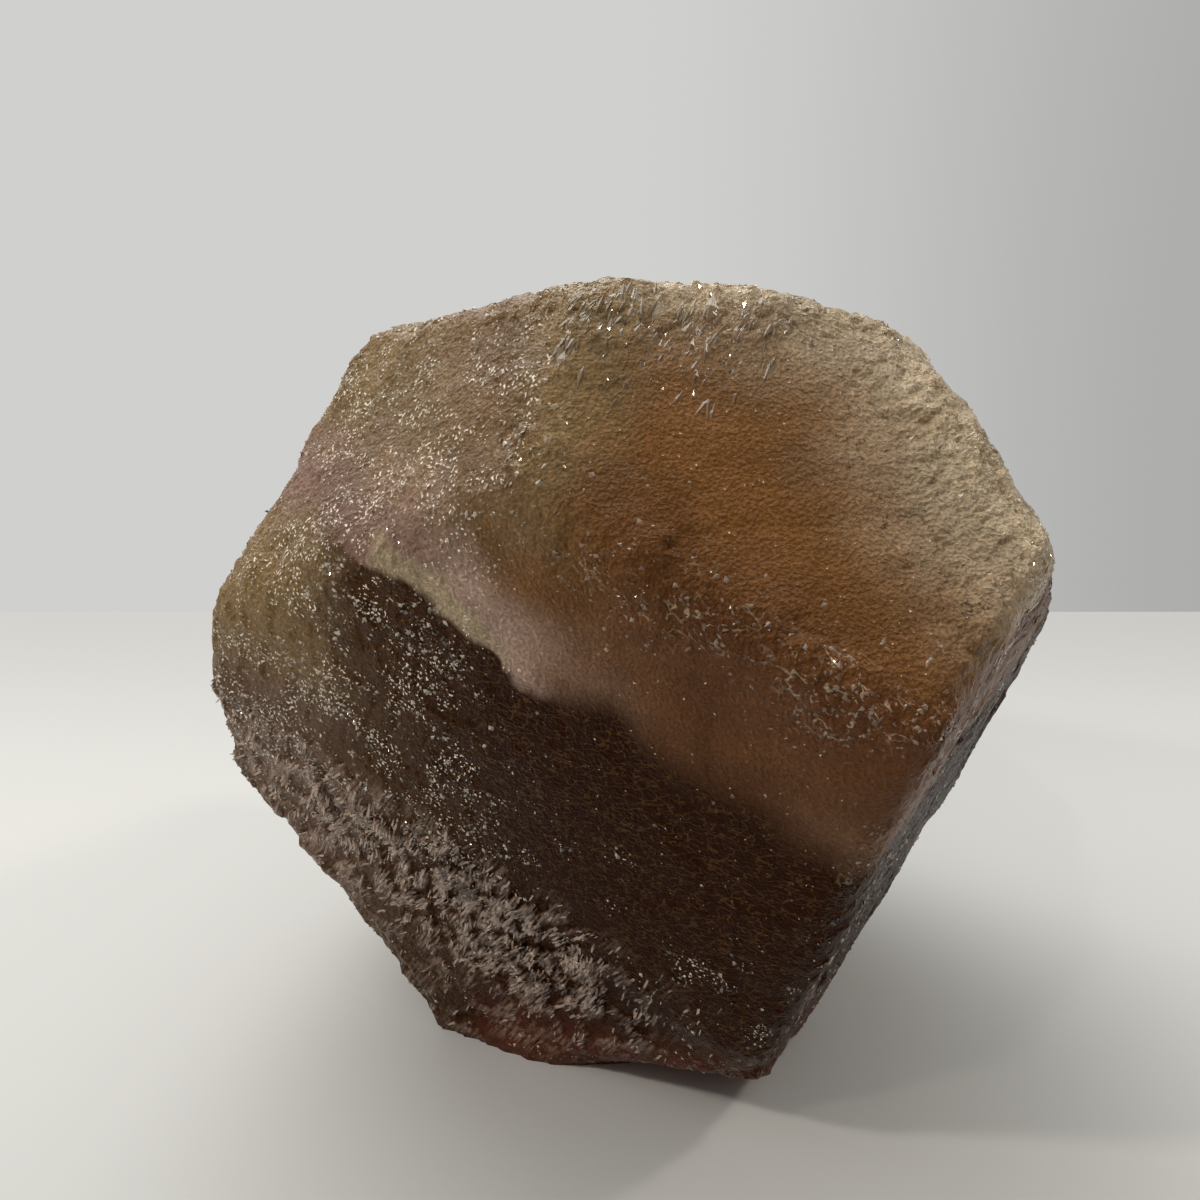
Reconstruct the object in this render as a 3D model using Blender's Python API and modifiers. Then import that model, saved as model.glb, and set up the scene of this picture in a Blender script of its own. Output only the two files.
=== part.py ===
"""Fluorite dodecahedron: one frosted crystal, rebuilt at real size.

The crystal is a rhombic dodecahedron that grew unevenly, so its twelve faces lie at
different distances from its centre.  It has a worn flat base that it rests on, edges
rounded by etching, one broad growth ledge across its front, and a scaly surface.

Units are metres, +Z is up and the front faces -Y.  The origin is under the middle of
the crystal's box, on the surface that it rests on.
"""

import math

import bmesh
import bpy
from mathutils import Vector, noise

MM = 0.001

# Growth faces: azimuth from +X and elevation of the outward direction in degrees, and
# distance from the centre in millimetres.  Neighbours lean about 60 degrees apart.
GROWTH_FACES = {
    "front": (-118, -15, 18.2),
    "upper_front": (-87, 39, 29.8),
    "upper_left": (-143, 37, 26.6),
    "top": (80, 69, 21.5),
    "left_upper": (151, 17, 21.2),
    "left_lower": (175, -34, 26.6),
    "right_upper": (-7, 33, 28.6),
    "right_lower": (-30, -21, 22.9),
    "front_under": (-82, -66, 27.6),
    "back_upper": (57, 13, 26.1),
    "back_left": (106, -22, 25.7),
    "back_right": (37, -45, 25.2),
}
BASE_DISTANCE = 26.4

BLOCK_SIZE = 120.0
EDGE_ROUNDING = 1.3
EDGE_SEGMENTS = 3
GRAIN = 1.8             # spacing of the even mesh that carries the relief

# Growth ledge: it crosses the front face, and the crystal is thinner below it.
LEDGE_START = Vector((-22.6, -6.6, -4.2))
LEDGE_END = Vector((4.0, -16.7, -17.8))
LEDGE_DROP = 0.9
LEDGE_WIDTH = 5.0

# Relief: broad undulation everywhere, and tilted scales that coarsen at the edges.
WAVE_SIZE = 11.0
WAVE_HEIGHT = 0.30
SCALE_SIZE = 4.2
SCALE_HEIGHT_FACE = 0.26
SCALE_HEIGHT_EDGE = 0.62
EDGE_BAND = 5.5
BASE_FADE = 1.6         # the relief fades out over this height above the base
BASE_SNAP = 0.25        # what lies this close to the base plane is part of the flat

COLOR = (0.36, 0.23, 0.12, 1.0)
ROUGHNESS = 0.42


def clear_scene():
    for old in list(bpy.data.objects):
        bpy.data.objects.remove(old, do_unlink=True)


def outward(azimuth, elevation):
    """Unit vector for a direction given in degrees."""
    turn = math.radians(azimuth)
    lift = math.radians(elevation)
    return Vector((math.cos(lift) * math.cos(turn), math.cos(lift) * math.sin(turn), math.sin(lift)))


def growth_planes():
    """(outward direction, distance in mm) of every flat, the base last."""
    planes = [(outward(azimuth, elevation), distance)
              for azimuth, elevation, distance in GROWTH_FACES.values()]
    planes.append((Vector((0.0, 0.0, -1.0)), BASE_DISTANCE))
    return planes


def cut_block(planes):
    """A block trimmed by each plane in turn, centred on the crystal's centre."""
    bm = bmesh.new()
    bmesh.ops.create_cube(bm, size=BLOCK_SIZE * MM)
    for direction, distance in planes:
        cut = bmesh.ops.bisect_plane(
            bm,
            geom=bm.verts[:] + bm.edges[:] + bm.faces[:],
            dist=0.01 * MM,
            plane_co=direction * distance * MM,
            plane_no=direction,
            clear_outer=True,
        )
        rim = [item for item in cut["geom_cut"] if isinstance(item, bmesh.types.BMEdge)]
        bmesh.ops.contextual_create(bm, geom=rim)
    bmesh.ops.recalc_face_normals(bm, faces=bm.faces[:])
    mesh = bpy.data.meshes.new("fluorite_crystal")
    bm.to_mesh(mesh)
    bm.free()
    return mesh


def evaluated_copy(crystal):
    """The object's mesh with its modifiers applied, and the modifiers taken off."""
    depsgraph = bpy.context.evaluated_depsgraph_get()
    mesh = bpy.data.meshes.new_from_object(crystal.evaluated_get(depsgraph))
    crystal.modifiers.clear()
    crystal.data = mesh
    return mesh


def round_and_grain(crystal):
    """Round the edges, then remesh to an even grain that can carry the relief."""
    bevel = crystal.modifiers.new("Rounded edges", "BEVEL")
    bevel.width = EDGE_ROUNDING * MM
    bevel.segments = EDGE_SEGMENTS
    bevel.limit_method = "ANGLE"
    remesh = crystal.modifiers.new("Even grain", "REMESH")
    remesh.mode = "VOXEL"
    remesh.voxel_size = GRAIN * MM
    return evaluated_copy(crystal)


def smooth_step(value):
    value = min(1.0, max(0.0, value))
    return value * value * (3.0 - 2.0 * value)


def edge_closeness(place, planes):
    """0 in the middle of a face, 1 on an edge between two growth faces."""
    gaps = sorted(distance - direction.dot(place) for direction, distance in planes[:-1])
    return 1.0 - smooth_step((gaps[1] - gaps[0]) / EDGE_BAND)


def scale_height(place):
    """Flat, randomly tilted scales with steps between them, from about -1 to 1."""
    feature = noise.voronoi(place / SCALE_SIZE)[1][0]
    tilt = noise.cell_vector(feature * 31.7) * 2.0 - Vector((1.0, 1.0, 1.0))
    return tilt.dot(place / SCALE_SIZE - feature) + 0.5 * tilt.z


def ledge_depth(place, planes):
    """How far the front lies behind its growth plane, below the ledge line."""
    front = planes[0][0]
    along = (LEDGE_END - LEDGE_START).normalized()
    upward = front.cross(along)
    if upward.z < 0.0:
        upward.negate()
    below = -(place - LEDGE_START).dot(upward)
    facing = smooth_step(1.0 - (planes[0][1] - front.dot(place)) / 4.0)
    return LEDGE_DROP * facing * smooth_step(0.5 + below / LEDGE_WIDTH)


def relief(place, planes):
    """Height of the surface above the plain faceted form, in millimetres."""
    near_edge = edge_closeness(place, planes)
    scale = SCALE_HEIGHT_FACE + (SCALE_HEIGHT_EDGE - SCALE_HEIGHT_FACE) * near_edge
    wave = WAVE_HEIGHT * noise.noise(place / WAVE_SIZE)
    height = wave + scale * scale_height(place) - ledge_depth(place, planes)
    above_base = place.z + BASE_DISTANCE
    return height * smooth_step(above_base / BASE_FADE)


def add_relief(mesh, planes):
    """Push each vertex along its normal; the base stays exactly flat."""
    bm = bmesh.new()
    bm.from_mesh(mesh)
    bm.normal_update()
    moves = {}
    for vert in bm.verts:
        place = vert.co / MM
        on_base = place.z < BASE_SNAP - BASE_DISTANCE
        if on_base:
            moves[vert] = Vector((place.x, place.y, -BASE_DISTANCE))
        else:
            moves[vert] = place + vert.normal * relief(place, planes)
    for vert, place in moves.items():
        vert.co = place * MM
    bmesh.ops.triangulate(bm, faces=bm.faces[:])
    bm.to_mesh(mesh)
    bm.free()


def set_on_ground(mesh):
    """Shift the mesh so that its box is centred on the origin and stands on z = 0."""
    low = Vector(min(vert.co[axis] for vert in mesh.vertices) for axis in range(3))
    high = Vector(max(vert.co[axis] for vert in mesh.vertices) for axis in range(3))
    middle = (low + high) / 2.0
    for vert in mesh.vertices:
        vert.co -= Vector((middle.x, middle.y, low.z))


def crystal_material():
    material = bpy.data.materials.new("Frosted fluorite")
    material.use_nodes = True
    shader = material.node_tree.nodes["Principled BSDF"]
    shader.inputs["Base Color"].default_value = COLOR
    shader.inputs["Roughness"].default_value = ROUGHNESS
    shader.inputs["Metallic"].default_value = 0.0
    material.diffuse_color = COLOR
    return material


def build():
    clear_scene()
    collection = bpy.data.collections.new("Fluorite dodecahedron")
    bpy.context.scene.collection.children.link(collection)

    planes = growth_planes()
    crystal = bpy.data.objects.new("fluorite_crystal", cut_block(planes))
    collection.objects.link(crystal)
    mesh = round_and_grain(crystal)
    add_relief(mesh, planes)
    set_on_ground(mesh)
    mesh.name = "fluorite_crystal"
    mesh.materials.clear()
    mesh.materials.append(crystal_material())


build()
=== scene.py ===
"""Dressed fluorite dodecahedron: the crystal's etched surface, its colour zones with painted shade, glow
and glints, and a plain studio whose floor has painted shade.

The crystal is one closed surface with real relief: the growth form, the ledge, plates,
shingles and grain.  The flakes, shards, chips and sparkling grains on it are small closed
solids set into that surface, because crisp glassy corners need faces of their own.

Lengths are in millimetres around the crystal's centre until to_frame turns each mesh to
metres in the frame's own coordinates.
"""
import functools
import itertools
import math

import bmesh
import bpy
import numpy as np
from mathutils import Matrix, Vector, noise

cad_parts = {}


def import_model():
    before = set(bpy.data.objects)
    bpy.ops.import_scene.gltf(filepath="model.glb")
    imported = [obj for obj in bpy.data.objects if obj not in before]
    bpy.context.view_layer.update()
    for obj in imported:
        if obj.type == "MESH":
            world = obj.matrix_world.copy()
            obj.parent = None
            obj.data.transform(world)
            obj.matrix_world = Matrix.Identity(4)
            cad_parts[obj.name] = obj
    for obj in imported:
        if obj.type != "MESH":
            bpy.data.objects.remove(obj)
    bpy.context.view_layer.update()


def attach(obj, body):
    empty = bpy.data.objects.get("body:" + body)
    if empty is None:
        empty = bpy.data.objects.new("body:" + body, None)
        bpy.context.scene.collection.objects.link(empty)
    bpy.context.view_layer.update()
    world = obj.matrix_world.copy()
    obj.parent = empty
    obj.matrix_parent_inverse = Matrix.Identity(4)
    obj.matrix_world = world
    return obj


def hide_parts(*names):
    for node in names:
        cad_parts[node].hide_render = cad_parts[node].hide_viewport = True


MM = 0.001
NODE = "fluorite_crystal"

# The crystal's centre in the frame, and its growth faces: azimuth from +X, elevation
# and distance from the centre, as in the solid that this surface replaces.
CENTRE = Vector((-2.648, -0.667, 26.4))
GROWTH_FACES = {
    "front": (-118, -15, 18.2),
    "upper_front": (-87, 39, 29.8),
    "upper_left": (-143, 37, 26.6),
    "top": (80, 69, 21.5),
    "left_upper": (151, 17, 21.2),
    "left_lower": (175, -34, 26.6),
    "right_upper": (-7, 33, 28.6),
    "right_lower": (-30, -21, 22.9),
    "front_under": (-82, -66, 27.6),
    "back_upper": (57, 13, 26.1),
    "back_left": (106, -22, 25.7),
    "back_right": (37, -45, 25.2),
}
BASE_DISTANCE = 26.4
BLOCK_SIZE = 120.0
CUT_TOLERANCE = 0.01
EDGE_ROUNDING = 2.4
EDGE_SEGMENTS = 4

# Even mesh under the relief, and how many cuts each of its edges takes.
GRAIN = 0.90
CUTS_SEEN = 2
CUTS_HIDDEN = 1
SEEN_FACES = ("front", "upper_front", "upper_left")

# Broad relief, in the places where the solid has it, and a corner worn down further.
LEDGE_START = Vector((-22.6, -6.6, -4.2))
LEDGE_END = Vector((4.0, -16.7, -17.8))
LEDGE_DROP = 0.9
LEDGE_WIDTH = 5.0
LEDGE_DEPTH = 4.0       # the ledge fades out this deep under the front face
WAVE_SIZE = 11.0
WAVE_HEIGHT = 0.30
SCALE_SIZE = 4.2
SCALE_HEIGHT_FACE = 0.12
SCALE_HEIGHT_EDGE = 0.30
TILT_SPREAD = 31.7      # makes neighbouring scales' tilts unlike each other
EDGE_BAND = 5.5
CORNER_FACES = ("top", "upper_front", "right_upper")
CORNER_WEAR = 1.3
CORNER_REACH = 7.0
BASE_FADE = 1.6         # the relief fades out over this height above the base
BASE_SNAP = 0.25        # what lies this close to the base plane is part of the flat
BASE_PLAIN = 0.1        # the fine relief begins this far above the base

# Fine relief: cell size and height of each kind of etched texture, and how wide the sides
# of its cracks and chunks are.
PLATE_SIZE = 1.2
PLATE_HEIGHT = 0.17
CRACK_DEPTH = 0.12
CRACK_WIDTH = 0.12
SHINGLE_LONG = 2.6
SHINGLE_SHORT = 1.0
SHINGLE_HEIGHT = 0.52
SHINGLE_LEAN = 52.0
SHINGLE_DEEP = 8.0      # long inwards, so that the surface's own relief doesn't break them up
FACE_APART = 7.0        # keeps the shingles of neighbouring faces unlike each other
CHUNK_SIZE = 0.95
CHUNK_HEIGHT = 0.38
CHUNK_SLOPE = 0.2
GRAIN_SIZE = 0.50
GRAIN_HEIGHT_SATIN = 0.02
GRAIN_HEIGHT_ROUGH = 0.10

# Where the textures lie on the surface, as ramps: where a ramp begins and ends, and its
# value there if that isn't 0 and 1.  X is the crystal's own axis, BELOW is measured below
# the ledge line, DEPTH under a growth face, and EDGE from the nearest edge.  A WIDTH is how
# far from an edge a texture reaches.
BAND_MIDDLE = 2.0
BAND_SPREAD = (2.475, 7.975, 1.0, 0.0)
BAND_START_X = (-24.5, -20.5, 0.4, 1.0)
BAND_END_X = (-7.0, 5.0, 1.0, 0.07)
SKIRT_BELOW = (6.0, 9.0)
SKIRT_END_X = (-4.0, 6.0, 1.0, 0.3)
SPARSE_BELOW = (3.0, 6.0, 1.0, 0.2)
RIDGE_X = (0.0, 14.0, 0.6, 1.0)
RIDGE_WIDTH = 5.5
TOP_RIM_WIDTH = 4.5
RIGHT_RIM_WIDTH = 5.0
CHIPPED_EDGE = (0.0, 2.6, 1.0, 0.0)
ROUGH_EDGE = (0.0, 4.5, 1.0, 0.0)
ROUGH_LEFT_X = (-13.0, -6.0, 1.0, 0.0)
ROUGH_LEFT_BELOW = (-3.2, 0.8, 1.0, 0.0)
PLATED_DEPTH = (0.0, 9.0, 1.0, 0.0)
CLUSTER_MIDDLE = -5.0
CLUSTER_SPREAD = (3.6, 9.6, 1.0, 0.0)
GLINT_LEFT_X = (-13.0, -3.0, 1.0, 0.0)
GLINT_RIM_DEPTH = (0.0, 7.0, 1.0, 0.0)
SPARK_LEFT_X = (-12.0, -4.0, 1.0, 0.0)
SHARD_START_DEPTH = (0.8, 1.8)
SHARD_END_DEPTH = (0.0, 9.0, 1.0, 0.0)
SHARD_MIDDLE_X = -0.5
SHARD_SPREAD_X = (4.2, 11.2, 1.0, 0.0)
FLAKE_EDGE = (0.0, 2.0)

# Small solids set into the surface: how many there are, how strongly small ones outnumber
# large ones, their sizes along, across and outward, how deep they sink as a share of half
# their thickness, and how far their corners stray as a share of their size.
FLAKES = {
    "count": 4000, "skew": 2.0, "long": (0.3, 1.2), "wide": (0.05, 0.20), "thick": (0.05, 0.12),
    "sink": 0.2, "ragged": 0.45,
}
SHARDS = {
    "count": 420, "skew": 2.0, "long": (0.5, 2.0), "wide": (0.15, 0.65), "thick": (0.12, 0.32),
    "sink": 0.5, "ragged": 0.35,
}
CHIPS = {
    "count": 3600, "skew": 2.0, "long": (0.14, 0.65), "wide": (0.08, 0.40), "thick": (0.08, 0.24),
    "sink": 0.2, "ragged": 0.45,
}
SPARKS = {
    "count": 13000, "skew": 4.0, "long": (0.09, 0.60), "wide": (0.06, 0.42), "thick": (0.07, 0.30),
    "sink": 0.0, "ragged": 0.3,
}
LEAST_SHARE = 0.6       # each size takes between this share and all of its solid's largeness
BASE_GAP = 0.05         # no corner comes closer than this to the base plane

# How the small solids lie, in degrees: their lean within the face, their tilt out of it, and
# the spread of each.  Flakes in one clump lie alike, and clumps differ by up to these angles.
CLUMP_SIZE = 1.7
CLUMP_LEAN = 60.0
CLUMP_TILT = 26.0
FLAKE_TILT = 12.0
SHARD_LEAN = 62.0
FLAKE_ANGLE_SPREAD = (7.0, 5.0)
SHARD_ANGLE_SPREAD = (12.0, 3.0)
CHIP_TILT_SPREAD = 12.0
SPARK_TILT_SPREAD = 20.0
RANDOM_SEED = 7

# Directions and sizes of the shader's finest textures: hair-like arcs that run nearly level,
# strands that lean with the shingles of the front face, and cracks in the upper front face.
HAIR_AXES = (Vector((1.0, 0.0, 0.0)), Vector((0.0, 1.0, 0.0)), Vector((0.0, 0.0, 1.0)))
HAIR_SIZES = (0.9, 0.9, 0.45)
STRAND_AXES = (Vector((0.50, -0.31, 0.81)), Vector((0.74, -0.31, -0.60)), Vector((-0.45, -0.85, -0.26)))
STRAND_SIZES = (1.5, 0.22, 0.8)
CRACK_AXES = (Vector((0.67, -0.45, -0.60)), Vector((0.74, 0.44, 0.50)), Vector((0.04, -0.78, 0.63)))
CRACK_SIZES = (1.0, 0.55, 0.8)

# Shader: sizes of the noises in millimetres, how far each layer hides the clear crystal,
# and the optical values of fluorite.  The bump's distance is in metres.
FINE_SIZE = 0.20
HAMMERED_SIZE = 0.38
BROKEN_SIZE = 0.8
LUMP_SIZE = 0.9
THREAD_WIDTH = 0.035
HIGHLIGHT_SHARE = 0.65
DULL_FROST = 0.75
DULL_GRAINS = 0.9
DULL_HIGHLIGHT = 0.6
DULL_PALE = 0.12
DULL_DARK = 0.5
TRANSMISSION = 0.55
IOR = 1.434
ABSORPTION_DENSITY = 45.0
BUMP_STRENGTH = 0.9
BUMP_DISTANCE = 0.00018
SOLIDS_GLOSS = 0.9

# Camera and floor, in millimetres and degrees.
CAMERA_OFFSET = Vector((-1.8, -82.7, 31.0))
CAMERA_PITCH = 17.0
CAMERA_LENS = 36.09
CAMERA_SENSOR = 36.0
CAMERA_CLIP = 10.0
FLOOR_BACK = 98.0
FLOOR_FRONT = -600.0
FLOOR_SIDE = 700.0

# The floor's painted shade, as ramps along Y in metres.  Lights: place and size in metres, power in
# watts.  World: how its strength changes with the direction looked in, as a ramp for each
# axis whose values are added, and the least that the sum falls to.
FLOOR_NEAR_Y = (-0.08, -0.01)
FLOOR_FAR_Y = (0.02, 0.10)
WARM = (1.0, 0.93, 0.84)
NEUTRAL = (1.0, 1.0, 1.0)
LIGHT_AIM = Vector((0.0, 0.0, 0.03))
LIGHTS = {
    "window": {"place": (-0.12, 0.22, 0.34), "size": 0.36, "power": 0.95, "colour": NEUTRAL},
    "sparkle_left": {"place": (-0.24, -0.10, 0.22), "size": 0.025, "power": 0.30, "colour": WARM},
    "sparkle_front": {"place": (-0.10, -0.20, 0.30), "size": 0.016, "power": 0.08, "colour": WARM},
    "sparkle_right": {"place": (0.24, 0.02, 0.26), "size": 0.04, "power": 0.22, "colour": WARM},
}
WORLD_RAMPS = {
    "Y": (-0.4, 0.7, 0.10, 0.63),
    "Z": (0.35, 1.0, 0.0, 0.8),
    "X": (0.0, 0.5, 0.0, -0.22),
}
WORLD_LEAST = 0.10


# ---------------------------------------------------------------- growth form

def outward(azimuth, elevation):
    """Unit vector for a direction given in degrees."""
    turn = math.radians(azimuth)
    lift = math.radians(elevation)
    return Vector((math.cos(lift) * math.cos(turn), math.cos(lift) * math.sin(turn), math.sin(lift)))


def growth_planes():
    """Name to (outward direction, distance) of every flat, the base last."""
    planes = {name: (outward(azimuth, elevation), distance)
              for name, (azimuth, elevation, distance) in GROWTH_FACES.items()}
    planes["base"] = (Vector((0.0, 0.0, -1.0)), BASE_DISTANCE)
    return planes


def meeting_point(planes, names):
    """Where three of the flats meet."""
    directions = np.array([planes[name][0] for name in names])
    distances = np.array([planes[name][1] for name in names])
    return np.linalg.solve(directions, distances)


def cut_block(planes):
    """A block trimmed by each plane in turn."""
    bm = bmesh.new()
    bmesh.ops.create_cube(bm, size=BLOCK_SIZE)
    for direction, distance in planes.values():
        cut = bmesh.ops.bisect_plane(
            bm,
            geom=bm.verts[:] + bm.edges[:] + bm.faces[:],
            dist=CUT_TOLERANCE,
            plane_co=direction * distance,
            plane_no=direction,
            clear_outer=True,
        )
        rim = [item for item in cut["geom_cut"] if isinstance(item, bmesh.types.BMEdge)]
        bmesh.ops.contextual_create(bm, geom=rim)
    bmesh.ops.recalc_face_normals(bm, faces=bm.faces[:])
    mesh = bpy.data.meshes.new("crystal_surface")
    bm.to_mesh(mesh)
    bm.free()
    return mesh


def round_and_remesh(piece):
    """Round the edges, then remesh to even quads."""
    bevel = piece.modifiers.new("Rounded edges", "BEVEL")
    bevel.width = EDGE_ROUNDING
    bevel.segments = EDGE_SEGMENTS
    bevel.limit_method = "ANGLE"
    remesh = piece.modifiers.new("Even grain", "REMESH")
    remesh.mode = "VOXEL"
    remesh.voxel_size = GRAIN
    depsgraph = bpy.context.evaluated_depsgraph_get()
    mesh = bpy.data.meshes.new_from_object(piece.evaluated_get(depsgraph))
    piece.modifiers.clear()
    piece.data = mesh


# ---------------------------------------------------------------- numpy helpers

def smooth(values):
    """Smooth step from 0 to 1."""
    values = np.clip(values, 0.0, 1.0)
    return values * values * (3.0 - 2.0 * values)


def ramp(values, low, high, start=0.0, end=1.0):
    """Smooth change from the start value at low to the end value at high."""
    return start + (end - start) * smooth((values - low) / (high - low))


def cell_randoms(cells, seed):
    """Three repeatable random numbers from 0 to 1 for each whole-numbered cell."""
    x, y, z = (cells[:, axis].astype(np.int64) for axis in range(3))
    mixed = (x * 73856093) ^ (y * 19349663) ^ (z * 83492791) ^ (seed * 2654435761)
    columns = []
    for salt in range(3):
        bits = (mixed + salt * 0x9E3779B9) & 0xFFFFFFFF
        for _ in range(2):
            bits = ((bits ^ (bits >> 16)) * 0x45D9F3B) & 0xFFFFFFFF
        columns.append((bits ^ (bits >> 16)) / 2.0**32)
    return np.stack(columns, axis=1)


def facets(places, seed):
    """Scattered cells around each place.

    Gives its own cell's randoms, its offset from that cell's point, and the distance to the
    cell's border.
    """
    home = np.floor(places)
    nearest = np.full(len(places), np.inf)
    second = np.full(len(places), np.inf)
    offset = np.zeros_like(places)
    owner = home.copy()
    for step in itertools.product((-1, 0, 1), repeat=3):
        cell = home + step
        gap = places - cell - cell_randoms(cell, seed)
        distance = np.linalg.norm(gap, axis=1)
        closer = distance < nearest
        second = np.where(closer, nearest, np.minimum(second, distance))
        nearest = np.where(closer, distance, nearest)
        offset[closer] = gap[closer]
        owner[closer] = cell[closer]
    return cell_randoms(owner, seed + 1), offset, (second - nearest) / 2.0


def soft_noise(places, size, seed):
    """Smooth noise from about -1 to 1 with the given wavelength."""
    scaled = places / size
    home = np.floor(scaled)
    part = scaled - home
    blend = part * part * (3.0 - 2.0 * part)
    total = np.zeros(len(places))
    for corner in itertools.product((0, 1), repeat=3):
        step = np.array(corner)
        weight = np.prod(np.where(step == 1, blend, 1.0 - blend), axis=1)
        total += weight * cell_randoms(home + step, seed)[:, 0]
    return total * 2.0 - 1.0


def patches(places, size, seed, level, contrast):
    """Soft patches from 0 to 1, more of them with a higher level."""
    return smooth(level + contrast * soft_noise(places, size, seed))


# ---------------------------------------------------------------- where things are

class Survey:
    """What each point of the surface is near: faces, edges, the ledge."""

    def __init__(self, places, planes):
        self.places = places
        self.x = places[:, 0]
        self.names = list(planes)
        directions = np.array([planes[name][0] for name in self.names])
        distances = np.array([planes[name][1] for name in self.names])
        self.gaps = distances - places @ directions.T
        self.face = np.argmin(self.gaps, axis=1)
        self.normal = directions[self.face]
        ordered = np.sort(self.gaps[:, :-1], axis=1)
        self.edge_gap = ordered[:, 1] - ordered[:, 0]

    def gap(self, name):
        """Depth under the named face's plane."""
        return self.gaps[:, self.names.index(name)]

    def on(self, *names):
        """1 where the nearest face is one of these."""
        return np.isin(self.face, [self.names.index(name) for name in names]).astype(float)

    def along_edge(self, first, second, width):
        """1 on the edge between two faces, 0 at this distance from it."""
        return ramp(np.maximum(self.gap(first), self.gap(second)), 0.0, width, 1.0, 0.0)

    def below_ledge(self):
        """Distance below the ledge line, measured in the front face."""
        front = np.array(outward(*GROWTH_FACES["front"][:2]))
        along = np.array((LEDGE_END - LEDGE_START).normalized())
        upward = np.cross(front, along)
        upward *= np.sign(upward[2])
        return -(self.places - np.array(LEDGE_START)) @ upward


def tangent_axes(normals, lean):
    """Per-point unit vectors along the lean direction and across it, both in the surface.

    The lean turns from level towards up.  On a level face +Y stands for up.
    """
    up = np.array([0.0, 0.0, 1.0]) - normals * normals[:, 2:3]
    length = np.linalg.norm(up, axis=1, keepdims=True)
    up = np.where(length > 0.05, up / np.maximum(length, 1e-6), np.array([0.0, 1.0, 0.0]))
    right = np.cross(up, normals)
    turn = np.radians(lean)
    cos = np.reshape(np.cos(turn), (-1, 1))
    sin = np.reshape(np.sin(turn), (-1, 1))
    along = right * cos + up * sin
    return along, np.cross(normals, along)


# ---------------------------------------------------------------- relief

def broad_relief(places, planes):
    """Undulation, large scales and the ledge, a little softer than in the solid."""
    survey = Survey(places, planes)
    waves = np.empty(len(places))
    scales = np.empty(len(places))
    for index, place in enumerate(places):
        point = Vector(place)
        waves[index] = noise.noise(point / WAVE_SIZE)
        feature = noise.voronoi(point / SCALE_SIZE)[1][0]
        tilt = noise.cell_vector(feature * TILT_SPREAD) * 2.0 - Vector((1.0, 1.0, 1.0))
        scales[index] = tilt.dot(point / SCALE_SIZE - feature) + 0.5 * tilt.z
    scale_height = ramp(survey.edge_gap, 0.0, EDGE_BAND, SCALE_HEIGHT_EDGE, SCALE_HEIGHT_FACE)
    facing = ramp(survey.gap("front"), 0.0, LEDGE_DEPTH, 1.0, 0.0)
    ledge = LEDGE_DROP * facing * ramp(survey.below_ledge(), -LEDGE_WIDTH / 2.0, LEDGE_WIDTH / 2.0)
    corner = meeting_point(planes, CORNER_FACES)
    worn = ramp(np.linalg.norm(places - corner, axis=1), 0.0, CORNER_REACH, CORNER_WEAR, 0.0)
    height = WAVE_HEIGHT * waves + scale_height * scales - ledge - worn
    return height * smooth((places[:, 2] + BASE_DISTANCE) / BASE_FADE)


def ledge_band(survey):
    """1 along the shaggy band at the ledge, fading above, below and to the right."""
    spread = ramp(np.abs(survey.below_ledge() - BAND_MIDDLE), *BAND_SPREAD)
    return survey.on("front") * spread * ramp(survey.x, *BAND_START_X) * ramp(survey.x, *BAND_END_X)


def skirt(survey):
    """1 on the front face below the shaggy band, fading to the right."""
    return survey.on("front") * ramp(survey.below_ledge(), *SKIRT_BELOW) * ramp(survey.x, *SKIRT_END_X)


def shingles(survey):
    """Height of leaning, overlapping scales, from about -1 to 1."""
    along, across = tangent_axes(survey.normal, SHINGLE_LEAN)
    places = survey.places
    sway = 0.5 * soft_noise(places, size=3.0, seed=5)
    scaled = np.stack([
        np.sum(places * along, axis=1) / SHINGLE_LONG + sway,
        np.sum(places * across, axis=1) / SHINGLE_SHORT,
        survey.face * FACE_APART + np.sum(places * survey.normal, axis=1) / SHINGLE_DEEP,
    ], axis=1)
    randoms, offset, _border = facets(scaled, seed=3)
    return 0.75 * offset[:, 0] + (randoms[:, 0] - 0.5) * offset[:, 1] + 0.5 * (randoms[:, 1] - 0.5)


def chunk_amount(survey):
    """How thickly glassy chunks cover each point: the ridge, the top rim and worn edges."""
    ridge = survey.along_edge("front", "upper_front", RIDGE_WIDTH) * ramp(survey.x, *RIDGE_X)
    top_rim = survey.along_edge("top", "upper_front", TOP_RIM_WIDTH)
    right_rim = survey.along_edge("right_upper", "upper_front", RIGHT_RIM_WIDTH)
    edges = ramp(survey.edge_gap, *CHIPPED_EDGE)
    clumps = patches(survey.places, size=3.0, seed=81, level=0.3, contrast=1.5)
    amount = 0.8 * ridge + top_rim + 0.8 * right_rim + 0.3 * edges
    return amount * (0.15 + 0.85 * clumps) * (1.0 - survey.on("base"))


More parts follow.
